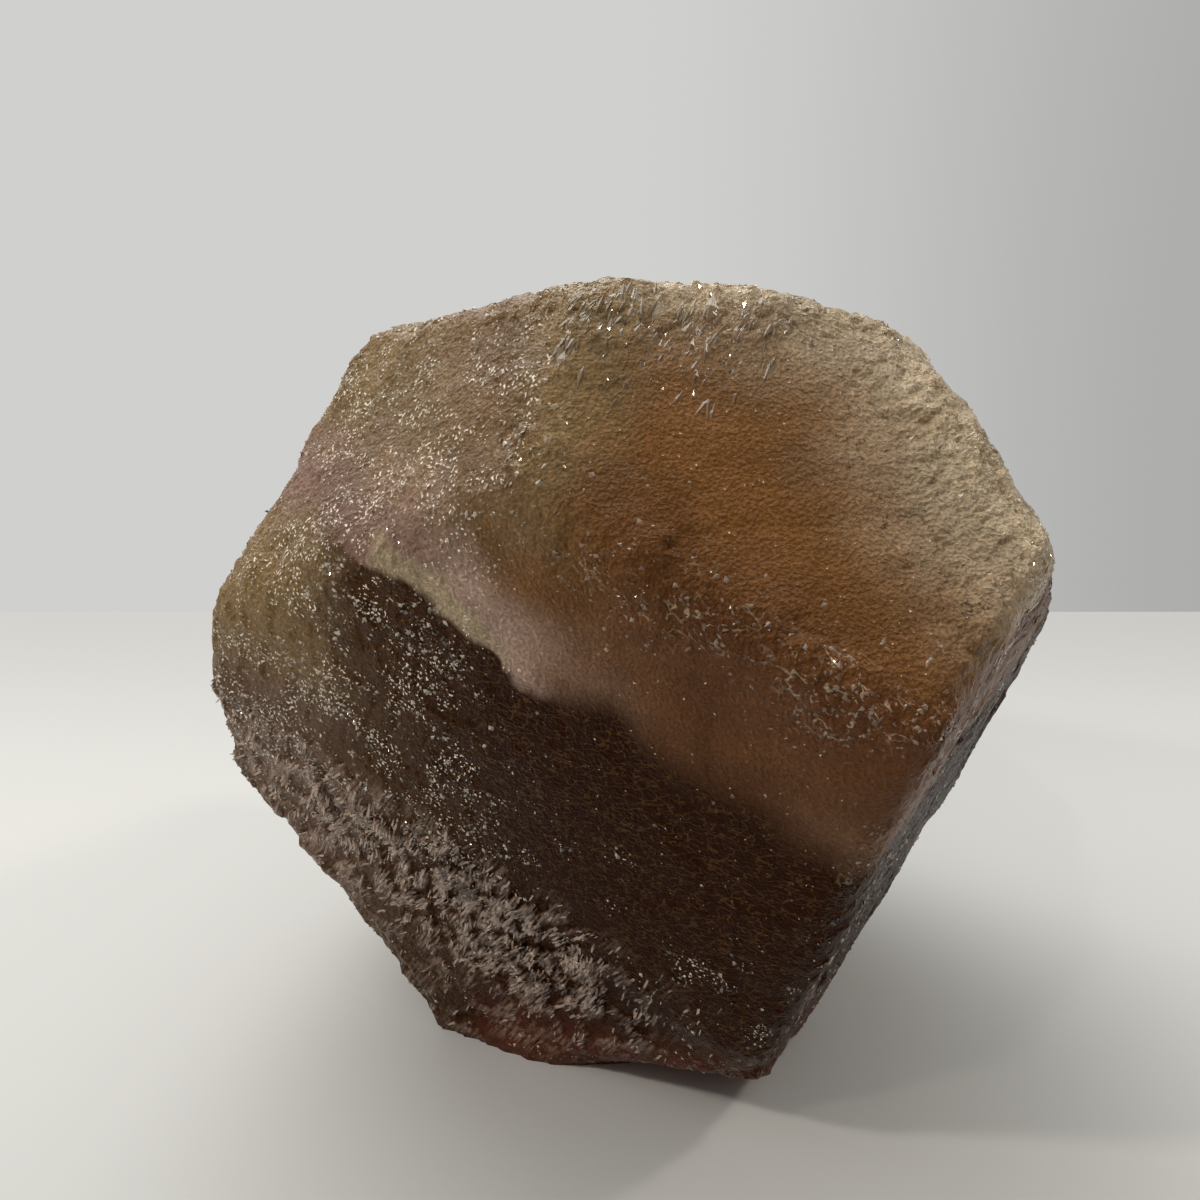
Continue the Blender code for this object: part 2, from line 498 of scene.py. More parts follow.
def roughness_zones(survey):
    """How strongly each etched texture shows at each point, from 0 to 1."""
    below = survey.below_ledge()
    band = ledge_band(survey)
    edges = ramp(survey.edge_gap, *ROUGH_EDGE)
    left = survey.on("front") * ramp(survey.x, *ROUGH_LEFT_X) * ramp(below, *ROUGH_LEFT_BELOW)
    rim_depth = np.minimum(survey.gap("top"), survey.gap("right_upper"))
    thin = survey.on("upper_front") * ramp(rim_depth, *PLATED_DEPTH)
    others = 1.0 - survey.on("front", "upper_front")
    hidden = others - survey.on("upper_left")
    spots = patches(survey.places, size=9.0, seed=11, level=0.5, contrast=1.2)
    shingle = band + 0.2 * skirt(survey) + 0.35 * left + 0.3 * hidden * spots
    plate = thin + 0.45 * others * (1.0 - spots)
    rough = (0.6 * band + 0.8 * skirt(survey) + 0.6 * left + 0.3 * edges + 0.4 * hidden
             + 0.5 * thin + 0.8 * survey.on("upper_left"))
    return {
        "shingle": np.clip(shingle, 0.0, 1.0),
        "plate": np.clip(plate, 0.0, 1.0),
        "rough": np.clip(rough, 0.0, 1.0),
    }


def fine_relief(places, planes):
    """Plates with cracks, leaning shingles, glassy chunks and grain."""
    survey = Survey(places, planes)
    zones = roughness_zones(survey)

    randoms, offset, border = facets(places / CHUNK_SIZE, seed=31)
    top = 0.6 + np.sum((randoms - 0.5) * offset, axis=1)
    chunk = (randoms[:, 0] > 0.5) * smooth(border / CHUNK_SLOPE) * top

    randoms, offset, border = facets(places / PLATE_SIZE, seed=21)
    plate = np.sum((randoms * 2.0 - 1.0) * offset, axis=1) + 0.6 * (randoms[:, 0] - 0.5)
    crack = 1.0 - smooth(border / CRACK_WIDTH)

    randoms, offset, _border = facets(places / GRAIN_SIZE, seed=41)
    grain = np.sum((randoms * 2.0 - 1.0) * offset, axis=1) + 0.5 * (randoms[:, 1] - 0.5)
    grain_height = GRAIN_HEIGHT_SATIN + (GRAIN_HEIGHT_ROUGH - GRAIN_HEIGHT_SATIN) * zones["rough"]

    height = (SHINGLE_HEIGHT * zones["shingle"] * shingles(survey)
              + CHUNK_HEIGHT * np.clip(chunk_amount(survey), 0.0, 1.0) * chunk
              + zones["plate"] * (PLATE_HEIGHT * plate - CRACK_DEPTH * crack)
              + grain_height * grain)
    return height * smooth((places[:, 2] + BASE_DISTANCE - BASE_PLAIN) / BASE_FADE)


def frost_and_painted_light(places, planes):
    """How dull and white each point is: white frost, laid most on the raised ends of the shingles as
    painted light.
    """
    survey = Survey(places, planes)
    others = 1.0 - survey.on("front", "upper_front", "upper_left", "right_upper", "right_lower")
    raised = smooth(0.35 + 1.3 * shingles(survey) + 0.6 * soft_noise(places, size=2.2, seed=61))
    return np.clip((ledge_band(survey) + 0.25 * skirt(survey) + 0.15 * others) * raised, 0.0, 1.0)


def glass_amount(places, planes):
    """How thickly each point is covered with glassy chunks."""
    return np.clip(1.3 * chunk_amount(Survey(places, planes)), 0.0, 1.0)


def above_band(survey):
    """1 above the shaggy band, falling below it, where few grains glitter."""
    return ramp(survey.below_ledge(), *SPARSE_BELOW)


def clusters(survey):
    """Loose clusters of white crystals in the dark zone above the band."""
    near = ramp(np.abs(survey.below_ledge() - CLUSTER_MIDDLE), *CLUSTER_SPREAD)
    return survey.on("front") * near * patches(survey.places, size=2.0, seed=95, level=-0.7, contrast=3.0)


def glint_amount(places, planes):
    """How thickly each point is sprinkled with painted glints: white specks in the colour."""
    survey = Survey(places, planes)
    left = survey.on("front") * ramp(survey.x, *GLINT_LEFT_X) * above_band(survey)
    coarse = soft_noise(places, size=2.6, seed=91)
    spots = smooth(0.5 + 0.9 * coarse + 0.8 * soft_noise(places, size=0.9, seed=92))
    others = 1.0 - survey.on("front", "upper_front", "upper_left", "right_upper", "right_lower", "base")
    rim = survey.on("upper_front") * ramp(survey.gap("top"), *GLINT_RIM_DEPTH)
    spread = (survey.on("upper_left") + left + 0.7 * others + 0.4 * rim) * spots
    return np.clip(spread + 0.8 * clusters(survey), 0.0, 1.0)


def mesh_arrays(mesh):
    """Vertex places and normals."""
    count = len(mesh.vertices)
    places = np.empty(count * 3, dtype=np.float32)
    normals = np.empty(count * 3, dtype=np.float32)
    mesh.vertices.foreach_get("co", places)
    mesh.vertex_normals.foreach_get("vector", normals)
    return places.reshape(-1, 3).astype(float), normals.reshape(-1, 3).astype(float)


def push_out(mesh, heights_of, planes):
    """Move each vertex along its normal by the relief; what lies on the base stays flat."""
    places, normals = mesh_arrays(mesh)
    on_base = places[:, 2] < BASE_SNAP - BASE_DISTANCE
    moved = places + normals * heights_of(places, planes)[:, None]
    flat = places.copy()
    flat[:, 2] = -BASE_DISTANCE
    moved = np.where(on_base[:, None], flat, moved)
    mesh.vertices.foreach_set("co", moved.astype(np.float32).ravel())
    mesh.update()


def refine(mesh, planes):
    """Split every quad, more finely on the faces that the front view shows."""
    bm = bmesh.new()
    bm.from_mesh(mesh)
    bm.faces.ensure_lookup_table()
    centres = np.array([face.calc_center_median() for face in bm.faces])
    seen = Survey(centres, planes).on(*SEEN_FACES) > 0.5
    edges = set()
    for index, face in enumerate(bm.faces):
        if seen[index]:
            edges.update(face.edges)
    rest = [edge for edge in bm.edges if edge not in edges]
    bmesh.ops.subdivide_edges(bm, edges=list(edges), cuts=CUTS_SEEN, use_grid_fill=True)
    rest = [edge for edge in rest if edge.is_valid]
    bmesh.ops.subdivide_edges(bm, edges=rest, cuts=CUTS_HIDDEN, use_grid_fill=True)
    bmesh.ops.triangulate(bm, faces=bm.faces[:])
    bm.to_mesh(mesh)
    bm.free()


def crystal_piece(planes):
    """The whole crystal as one closed surface."""
    piece = bpy.data.objects.new("crystal_surface", cut_block(planes))
    bpy.context.scene.collection.objects.link(piece)
    round_and_remesh(piece)
    push_out(piece.data, broad_relief, planes)
    refine(piece.data, planes)
    push_out(piece.data, fine_relief, planes)
    return piece


# ---------------------------------------------------------------- small solids

# Corners and outward triangles of a box and of a double pyramid, two units across.
BOX_CORNERS = np.array(list(itertools.product((-1.0, 1.0), repeat=3)))
BOX_FACES = np.array([
    (0, 1, 3), (0, 3, 2), (4, 6, 7), (4, 7, 5), (0, 4, 5), (0, 5, 1),
    (2, 3, 7), (2, 7, 6), (0, 2, 6), (0, 6, 4), (1, 5, 7), (1, 7, 3),
])
BOX = (BOX_CORNERS, BOX_FACES)
GEM_CORNERS = np.array([(1, 0, 0), (-1, 0, 0), (0, 1, 0), (0, -1, 0), (0, 0, 1), (0, 0, -1)], dtype=float)
GEM_FACES = np.array([
    (0, 2, 4), (2, 1, 4), (1, 3, 4), (3, 0, 4), (2, 0, 5), (1, 2, 5), (3, 1, 5), (0, 3, 5),
])
GEM = (GEM_CORNERS, GEM_FACES)


def spots_on(mesh, planes, density, count, random):
    """Random places on a mesh, thicker where the density function is high."""
    places, _normals = mesh_arrays(mesh)
    corners = np.empty(len(mesh.polygons) * 3, dtype=np.int32)
    mesh.polygons.foreach_get("vertices", corners)
    triangles = places[corners.reshape(-1, 3)]
    sides = np.cross(triangles[:, 1] - triangles[:, 0], triangles[:, 2] - triangles[:, 0])
    weight = np.linalg.norm(sides, axis=1) * density(Survey(triangles.mean(axis=1), planes))
    picked = triangles[random.choice(len(weight), size=count, p=weight / weight.sum())]
    share = random.dirichlet((1.0, 1.0, 1.0), size=count)
    return np.einsum("ij,ijk->ik", share, picked)


def small_solids(name, form, kind, spots, planes, lean, tilt, random):
    """One piece of many closed solids, each turned to lean in its face and tilted out of it."""
    corners, faces = form
    count = len(spots)
    survey = Survey(spots, planes)
    along, across = tangent_axes(survey.normal, lean)
    turn = np.radians(tilt)[:, None]
    lifted = along * np.cos(turn) - survey.normal * np.sin(turn)
    raised = survey.normal * np.cos(turn) + along * np.sin(turn)
    large = random.uniform(size=count) ** kind["skew"]
    half = np.stack([low + (high - low) * large * random.uniform(LEAST_SHARE, 1.0, size=count)
                     for low, high in (kind["long"], kind["wide"], kind["thick"])], axis=1) / 2.0
    stray = random.uniform(-1.0, 1.0, size=(count, len(corners), 3))
    local = corners[None] * (1.0 + kind["ragged"] * stray) * half[:, None]
    centre = spots - survey.normal * (kind["sink"] * half[:, 2])[:, None]
    points = (centre[:, None] + local[..., 0:1] * lifted[:, None]
              + local[..., 1:2] * across[:, None] + local[..., 2:3] * raised[:, None])
    points[..., 2] = np.maximum(points[..., 2], BASE_GAP - BASE_DISTANCE)
    all_faces = (faces[None] + len(corners) * np.arange(count)[:, None, None]).reshape(-1, 3)
    mesh = bpy.data.meshes.new(name)
    mesh.from_pydata(points.reshape(-1, 3), [], all_faces)
    piece = bpy.data.objects.new(name, mesh)
    bpy.context.scene.collection.objects.link(piece)
    return piece


def flake_density(survey):
    """Flakes lie on the shaggy band, thinly below it and in patches on the hidden faces."""
    others = 1.0 - survey.on("front", "upper_front", "upper_left", "base")
    spots = patches(survey.places, size=7.0, seed=71, level=0.3, contrast=1.5)
    raised = smooth(0.4 + 1.3 * shingles(survey)) * ramp(survey.edge_gap, *FLAKE_EDGE)
    return (ledge_band(survey) + 0.12 * skirt(survey) + 0.15 * others * spots) * raised


def shard_density(survey):
    """Shards lie on the upper front face, just under the middle of the top rim."""
    depth = survey.gap("top")
    under_rim = ramp(depth, *SHARD_START_DEPTH) * ramp(depth, *SHARD_END_DEPTH)
    middle = ramp(np.abs(survey.x - SHARD_MIDDLE_X), *SHARD_SPREAD_X)
    return survey.on("upper_front") * under_rim * middle


def chip_density(survey):
    """Chips lie where the surface has glassy chunks, and here and there elsewhere."""
    return chunk_amount(survey) + 1e-4


def spark_density(survey):
    """Sparkling grains lie on the upper left face, the left of the front and the hidden faces."""
    left = survey.on("front") * ramp(survey.x, *SPARK_LEFT_X) * above_band(survey)
    coarse = soft_noise(survey.places, size=3.0, seed=91)
    spots = smooth(0.2 + 1.2 * coarse + 1.4 * soft_noise(survey.places, size=1.1, seed=93))
    others = 1.0 - survey.on("front", "upper_front", "upper_left", "base")
    amount = survey.on("upper_left") + 1.5 * left + 0.3 * others + 0.01 * survey.on("front", "upper_front")
    return amount * (0.1 + 0.9 * spots) + 0.6 * clusters(survey)


def shaggy_flakes(mesh, planes, random):
    """Flakes that lean with the shingles, alike within a clump, and stand up on the front."""
    spots = spots_on(mesh, planes, flake_density, FLAKES["count"], random)
    clump = facets(spots / CLUMP_SIZE, seed=73)[0] - 0.5
    lean_spread, tilt_spread = FLAKE_ANGLE_SPREAD
    lean = SHINGLE_LEAN + CLUMP_LEAN * clump[:, 0] + random.normal(0.0, lean_spread, len(spots))
    standing = (FLAKE_TILT + CLUMP_TILT * clump[:, 1]) * Survey(spots, planes).on("front")
    tilt = standing + random.normal(0.0, tilt_spread, len(spots))
    return small_solids("shaggy_flakes", BOX, FLAKES, spots, planes, lean, tilt, random)


def long_shards(mesh, planes, random):
    """Glassy shards that lie nearly flat and lean much the same way."""
    spots = spots_on(mesh, planes, shard_density, SHARDS["count"], random)
    lean_spread, tilt_spread = SHARD_ANGLE_SPREAD
    lean = random.normal(SHARD_LEAN, lean_spread, len(spots))
    tilt = random.normal(0.0, tilt_spread, len(spots))
    return small_solids("long_shards", GEM, SHARDS, spots, planes, lean, tilt, random)


def loose_gems(name, kind, density, tilt_spread, mesh, planes, random):
    """Double pyramids that lie in every direction."""
    spots = spots_on(mesh, planes, density, kind["count"], random)
    lean = random.uniform(0.0, 180.0, len(spots))
    tilt = random.normal(0.0, tilt_spread, len(spots))
    return small_solids(name, GEM, kind, spots, planes, lean, tilt, random)


def add_small_solids(mesh, planes):
    """Shaggy flakes, long shards, ridge chips and sparkling grains."""
    random = np.random.default_rng(RANDOM_SEED)
    return [
        shaggy_flakes(mesh, planes, random),
        long_shards(mesh, planes, random),
        loose_gems("ridge_chips", CHIPS, chip_density, CHIP_TILT_SPREAD, mesh, planes, random),
        loose_gems("sparkling_grains", SPARKS, spark_density, SPARK_TILT_SPREAD, mesh, planes, random),
    ]


def to_frame(mesh):
    """From millimetres around the crystal's centre to metres in the frame."""
    places, _normals = mesh_arrays(mesh)
    places = (places + np.array(CENTRE)) * MM
    mesh.vertices.foreach_set("co", places.astype(np.float32).ravel())
    mesh.update()


# ---------------------------------------------------------------- materials

class Graph:
    """Short calls for adding shader nodes to a material or a world."""

    def __init__(self, owner):
        owner.use_nodes = True
        self.nodes = owner.node_tree.nodes
        self.links = owner.node_tree.links

    def add(self, kind, inputs=(), **settings):
        """A node with these settings; inputs are sockets, numbers or colours by name or place."""
        node = self.nodes.new(kind)
        for name, value in settings.items():
            setattr(node, name, value)
        for key, value in dict(inputs).items():
            self.put(node.inputs[key], value)
        return node

    def put(self, socket, value):
        """Link a socket to the input, or set a number or colour on it."""
        if isinstance(value, bpy.types.NodeSocket):
            self.links.new(value, socket)
        else:
            socket.default_value = value

    def math(self, operation, first, second=0.0, third=0.0):
        """The result of one sum on numbers."""
        node = self.add("ShaderNodeMath", {0: first, 1: second, 2: third}, operation=operation)
        return node.outputs[0]

    def product(self, *factors):
        """All the factors multiplied together."""
        return functools.reduce(lambda total, factor: self.math("MULTIPLY", total, factor), factors)

    def total(self, *parts):
        """All the parts added together."""
        return functools.reduce(lambda total, part: self.math("ADD", total, part), parts)

    def largest(self, *values):
        """The largest of the values."""
        return functools.reduce(lambda best, value: self.math("MAXIMUM", best, value), values)

    def rising(self, share, start, end):
        """Straight change from the start value at a share of 0 to the end value at 1."""
        return self.math("MULTIPLY_ADD", share, end - start, start)

    def ramp(self, value, low, high, start=0.0, end=1.0):
        """Smooth change from the start value at low to the end value at high."""
        limits = {"From Min": low, "From Max": high, "To Min": start, "To Max": end}
        node = self.add("ShaderNodeMapRange", {"Value": value, **limits}, interpolation_type="SMOOTHSTEP")
        return node.outputs["Result"]

    def vector(self, operation, first, second, third=(0.0, 0.0, 0.0)):
        """The result of one sum on vectors."""
        node = self.add("ShaderNodeVectorMath", {0: first, 1: second, 2: third}, operation=operation)
        return node.outputs["Vector"]

    def dot(self, vector, direction):
        """How far the vector reaches in a direction."""
        node = self.add("ShaderNodeVectorMath", {0: vector, 1: tuple(direction)}, operation="DOT_PRODUCT")
        return node.outputs["Value"]

    def scaled(self, vector, directions, sizes):
        """The vector measured along three directions, each in its own unit."""
        parts = [self.math("DIVIDE", self.dot(vector, direction), size)
                 for direction, size in zip(directions, sizes)]
        return self.add("ShaderNodeCombineXYZ", dict(enumerate(parts))).outputs[0]

    def noise(self, vector, size, detail=1.0, output="Fac"):
        """Noise from 0 to 1 with features of about this many millimetres."""
        node = self.add("ShaderNodeTexNoise", {"Vector": vector, "Scale": 1.0 / size, "Detail": detail})
        return node.outputs[output]

    def threads(self, value):
        """1 along the thin curved lines where a noise passes its middle value."""
        off = self.math("ABSOLUTE", self.math("SUBTRACT", value, 0.5))
        return self.ramp(off, 0.0, THREAD_WIDTH, 1.0, 0.0)

    def shade(self, colour, gain):
        """The colour made darker or lighter."""
        return self.vector("MULTIPLY", colour, (gain,) * 3)

    def blend(self, factor, first, second):
        """The first colour where the factor is 0, the second where it is 1."""
        # The colour sockets share their names with the number sockets, so they go by place.
        node = self.add("ShaderNodeMix", data_type="RGBA", clamp_factor=True)
        factor_socket, first_socket, second_socket = node.inputs[0], node.inputs[6], node.inputs[7]
        self.put(factor_socket, factor)
        self.put(first_socket, first)
        self.put(second_socket, second)
        return node.outputs[2]


# Colours, in linear red, green and blue.
HONEY = (0.335, 0.148, 0.042, 1.0)
# The next colour is painted glow on the thin top and right rims, where light shines through.
RIM_GLOW = (0.79, 0.625, 0.41, 1.0)
MAUVE = (0.74, 0.51, 0.40, 1.0)
PLUM = (0.42, 0.25, 0.19, 1.0)
EMBER = (0.36, 0.20, 0.12, 1.0)
OLIVE = (0.41, 0.275, 0.125, 1.0)
UMBER = (0.33, 0.20, 0.095, 1.0)
OUTER = (0.36, 0.24, 0.11, 1.0)
STRIP = (0.74, 0.585, 0.38, 1.0)
RUSSET = (0.21, 0.088, 0.036, 1.0)
SMOKE = (0.20, 0.125, 0.085, 1.0)
BROWN = (0.065, 0.031, 0.014, 1.0)
# The next colour is painted shade for the crystal's dark lower part.
PAINTED_SHADE = (0.020, 0.0042, 0.0004, 1.0)
HAIR = (0.11, 0.052, 0.016, 1.0)
FOOT = (0.11, 0.028, 0.014, 1.0)
FROST = (0.92, 0.70, 0.57, 1.0)
FLAKY = (0.90, 0.70, 0.57, 1.0)
# GLASSY also paints the highlights round the glassy chunks.
GLASSY = (0.95, 0.80, 0.58, 1.0)
# WHITE paints the white specks that are painted glints, and whitens the chips and sparkling grains.
WHITE = (0.95, 0.86, 0.72, 1.0)
GLOSS_TINT = (0.40, 0.20, 0.09, 1.0)
ABSORPTION = (0.80, 0.58, 0.40, 1.0)
DAYLIGHT = (1.0, 1.0, 0.985, 1.0)
PAPER = (0.58, 0.58, 0.56, 1.0)
# The next two paper colours are painted shade on the floor, near the camera and at its far edge.
PAPER_SHADED_NEAR = (0.50, 0.50, 0.48, 1.0)
PAPER_SHADED_FAR = (0.46, 0.46, 0.45, 1.0)

# The dark zone is painted shade for the crystal's lower part, where little light comes through.
# It lies below a plane, given like a growth face's.  The zones' borders are ramps: where each
# begins and ends, and its value there if that isn't 0 and 1, along X or Z, ABOVE the dark zone's
# plane, or as a DEPTH under a growth face.  Low on the upper faces the colour is PLUM at the left,
# and changes to the next one over each X range.
DARK_ZONE = (-52.7, 58.5, 13.7)
DARK_STEP_X = (-8.2, -7.2, 0.0, 1.2)
DARK_DIP_X = (-6.0, 0.0, 0.0, -2.2)
DARK_SOFTNESS_X = (-8.0, 4.0, 0.4, 2.6)
DARK_BORDER = (-1.0, 1.0, 1.0, 0.0)
DARK_Z = (13.0, 17.0, 1.0, 0.0)
DARK_DEEPER_X = (-17.0, -7.0)
WAVER_SIZE = 5.0
WAVER_REACH = 5.0
PALE_NARROW_DEPTH = (0.5, 3.5, 1.0, 0.0)
PALE_WIDE_DEPTH = (0.5, 10.0, 1.0, 0.0)
PALE_WIDE_X = (2.0, 12.0, 0.35, 1.0)
PALE_ABOVE = (11.0, 17.0)
OLIVE_DEPTH = (1.0, 4.5, 1.0, 0.0)
UMBER_START_X = (-15.0, -8.0)
UMBER_END_X = (-7.0, -4.0, 1.0, 0.0)
RUSSET_X = (-8.0, 4.0)
RUSSET_START_ABOVE = (3.0, 7.0)
RUSSET_END_ABOVE = (10.5, 15.0, 1.0, 0.0)
LOW_ABOVE = (3.0, 7.5, 1.0, 0.0)
LOW_Z = (16.0, 21.0, 1.0, 0.0)
LOW_COLOURS_X = {(-15.0, -8.0): MAUVE, (-7.0, -2.5): EMBER, (-2.5, 3.0): RUSSET, (6.0, 15.0): EMBER}
STRIP_START_X = (-15.5, -13.5)
STRIP_END_X = (-8.5, -6.0, 1.0, 0.0)
STRIP_ABOVE = (1.3, 2.6, 1.0, 0.0)
SMOKE_Z = (1.0, 8.0, 1.0, 0.0)
INNER_X = (-22.0, -15.5)
FOOT_X = (-14.0, -7.0)
FOOT_Z = (-24.0, -18.0, 1.0, 0.0)
MOTTLE = (0.42, 0.58)
MOTTLE_SHADES = (0.74, 0.92)


def crystal_place(graph):
    """Millimetres around the crystal's centre."""
    coords = graph.add("ShaderNodeTexCoord").outputs["Object"]
    return graph.vector("MULTIPLY_ADD", coords, (1.0 / MM,) * 3, tuple(-CENTRE))


def depth_under(graph, place, face):
    """Depth under the plane of a growth face."""
    azimuth, elevation, distance = GROWTH_FACES[face]
    return graph.math("SUBTRACT", distance, graph.dot(place, outward(azimuth, elevation)))


def colour_with_painted_light(graph, place):
    """The crystal's colour at each place, with its shares of the dark zone and the pale rim, which are
    painted shade and painted glow.

    The zones are cut by planes, and a noise makes their borders waver.
    """
    waver = graph.noise(place, WAVER_SIZE, detail=2.0, output="Color")
    place = graph.vector("MULTIPLY_ADD", waver, (WAVER_REACH,) * 3, place)
    place = graph.vector("ADD", place, (-WAVER_REACH / 2.0,) * 3)
    split = graph.add("ShaderNodeSeparateXYZ", {0: place})
    x = split.outputs["X"]
    z = split.outputs["Z"]
    azimuth, elevation, distance = DARK_ZONE
    above = graph.math("SUBTRACT", graph.dot(place, outward(azimuth, elevation)), distance)
    above = graph.total(above, graph.ramp(x, *DARK_STEP_X))

    # Painted glow: the pale rim along the thin top and right edges.
    rim = graph.math("MINIMUM", depth_under(graph, place, "top"), depth_under(graph, place, "right_upper"))
    wide = graph.product(graph.ramp(rim, *PALE_WIDE_DEPTH), graph.ramp(x, *PALE_WIDE_X))
    pale = graph.largest(graph.ramp(rim, *PALE_NARROW_DEPTH), wide)
    pale = graph.product(pale, graph.ramp(above, *PALE_ABOVE))
    colour = graph.blend(pale, HONEY, RIM_GLOW)

    umber = graph.product(graph.ramp(x, *UMBER_START_X), graph.ramp(x, *UMBER_END_X))
    olive = graph.ramp(depth_under(graph, place, "upper_left"), *OLIVE_DEPTH)
    colour = graph.blend(olive, colour, graph.blend(umber, OLIVE, UMBER))

    russet = graph.product(graph.ramp(above, *RUSSET_START_ABOVE), graph.ramp(above, *RUSSET_END_ABOVE),
                           graph.ramp(x, *RUSSET_X))
    colour = graph.blend(russet, colour, RUSSET)

    low_colour = PLUM
    for border, next_colour in LOW_COLOURS_X.items():
        low_colour = graph.blend(graph.ramp(x, *border), low_colour, next_colour)
    low = graph.product(graph.ramp(above, *LOW_ABOVE), graph.ramp(z, *LOW_Z))
    colour = graph.blend(low, colour, low_colour)

    strip = graph.product(graph.ramp(x, *STRIP_START_X), graph.ramp(x, *STRIP_END_X),
                          graph.ramp(above, *STRIP_ABOVE))
    colour = graph.blend(strip, colour, STRIP)
    darker, lighter = (graph.shade(colour, gain) for gain in MOTTLE_SHADES)
    colour = graph.blend(graph.ramp(waver, *MOTTLE), darker, lighter)

    # The dark zone's painted shade: BROWN towards the left, the reddish FOOT colour at the foot, and OUTER
    # above and SMOKE below at the far left.
    inner = graph.ramp(x, *INNER_X)
    foot = graph.product(graph.ramp(x, *FOOT_X), graph.ramp(z, *FOOT_Z))
    dark_colour = graph.blend(graph.ramp(x, *DARK_DEEPER_X), BROWN, PAINTED_SHADE)
    dark_colour = graph.blend(foot, dark_colour, FOOT)
    outer_colour = graph.blend(graph.ramp(z, *SMOKE_Z), OUTER, SMOKE)
    border = graph.math("DIVIDE", graph.total(above, graph.ramp(x, *DARK_DIP_X)),
                        graph.ramp(x, *DARK_SOFTNESS_X))
    dark = graph.product(graph.ramp(border, *DARK_BORDER), graph.ramp(z, *DARK_Z))
    colour = graph.blend(dark, colour, graph.blend(inner, outer_colour, dark_colour))
    return colour, graph.product(dark, inner), pale


def surface_material():
    """Frosted fluorite: see-through and absorbing, with dull white frost and painted glints on it."""
    material = bpy.data.materials.new("frosted_fluorite")
    graph = Graph(material)
    sockets = graph.nodes["Principled BSDF"].inputs
    shaggy, glint, glass = (graph.add("ShaderNodeAttribute", attribute_name=name).outputs["Fac"]
                            for name in ("frost", "glint", "glass"))
    place = crystal_place(graph)
    colour, dark, pale = colour_with_painted_light(graph, place)
    fine = graph.noise(place, FINE_SIZE)
    colour = graph.blend(graph.ramp(fine, 0.35, 0.75), colour, graph.shade(colour, 1.6))

    # Hair-like arcs in the dark zone, painted shade in the cracks of the pale rim and painted highlights
    # round the chunks.
    arcs = graph.noise(graph.scaled(place, HAIR_AXES, HAIR_SIZES), 1.0, 1.5)
    colour = graph.blend(graph.product(graph.threads(arcs), dark), colour, HAIR)
    lines = graph.noise(graph.scaled(place, CRACK_AXES, CRACK_SIZES), 1.0, 1.5)
    broken = graph.ramp(graph.noise(place, BROKEN_SIZE), 0.50, 0.58)
    crack = graph.product(graph.threads(lines), broken)
    # Painted shade in the cracks.
    crack_shade = graph.product(crack, graph.ramp(pale, 0.02, 0.35), graph.rising(glass, 1.0, 0.0))
    # Painted highlights round the glassy chunks.
    edge_highlight = graph.product(crack, glass, HIGHLIGHT_SHARE)
    colour = graph.blend(crack_shade, colour, graph.shade(colour, 0.35))
    colour = graph.blend(edge_highlight, colour, GLASSY)

    # Frost on the shingles' strands, and painted glints: white specks where the fine noise peaks.
    strands = graph.noise(graph.scaled(place, STRAND_AXES, STRAND_SIZES), 1.0)
    # The frost is real whiteness, with painted light where it gathers on the shingles' raised ends.
    frost = graph.product(shaggy, graph.ramp(strands, 0.38, 0.62))
    peak = graph.math("SUBTRACT", fine, graph.rising(glint, 0.765, 0.615))
    grains = graph.ramp(peak, 0.0, 0.03)
    colour = graph.blend(frost, colour, FROST)
    colour = graph.blend(grains, colour, WHITE)
    graph.put(sockets["Base Color"], colour)

    dull = graph.largest(
        graph.product(frost, DULL_FROST), graph.product(grains, DULL_GRAINS),
        graph.product(edge_highlight, DULL_HIGHLIGHT), graph.product(pale, DULL_PALE),
        graph.product(dark, DULL_DARK))
    graph.put(sockets["Transmission Weight"], graph.rising(dull, TRANSMISSION, 0.0))
    roughness = graph.math("MULTIPLY_ADD", glass, -0.2, graph.rising(fine, 0.25, 0.50))
    graph.put(sockets["Roughness"], roughness)
    sockets["IOR"].default_value = IOR
    graph.put(sockets["Specular IOR Level"], graph.rising(pale, 0.12, 0.62))
    graph.put(sockets["Specular Tint"], graph.blend(pale, GLOSS_TINT, GLASSY))

    hammered = graph.product(graph.noise(place, HAMMERED_SIZE), 0.5)
    height = graph.total(fine, hammered, graph.product(strands, shaggy))
    bump = graph.add(
        "ShaderNodeBump", {"Height": height, "Strength": BUMP_STRENGTH, "Distance": BUMP_DISTANCE})
    graph.put(sockets["Normal"], bump.outputs["Normal"])
    volume = graph.add("ShaderNodeVolumeAbsorption", {"Color": ABSORPTION, "Density": ABSORPTION_DENSITY})
    graph.put(graph.nodes["Material Output"].inputs["Volume"], volume.outputs["Volume"])
    return material


def grain_material(name, pale, share, gain, roughness, transmission):
    """Small solids of the same crystal: the zone's colour with its painted shade and glow, times the gain,
    paler by this share.
    """
    material = bpy.data.materials.new(name)
    graph = Graph(material)
    sockets = graph.nodes["Principled BSDF"].inputs
    place = crystal_place(graph)
    lump = graph.ramp(graph.noise(place, LUMP_SIZE), 0.35, 0.65)
    base = graph.shade(colour_with_painted_light(graph, place)[0], gain)
    graph.put(sockets["Base Color"], graph.blend(graph.rising(lump, 0.2 * share, share), base, pale))
    sockets["Roughness"].default_value = roughness
    sockets["IOR"].default_value = IOR
    sockets["Transmission Weight"].default_value = transmission
    sockets["Specular IOR Level"].default_value = SOLIDS_GLOSS
    return material


# ---------------------------------------------------------------- studio

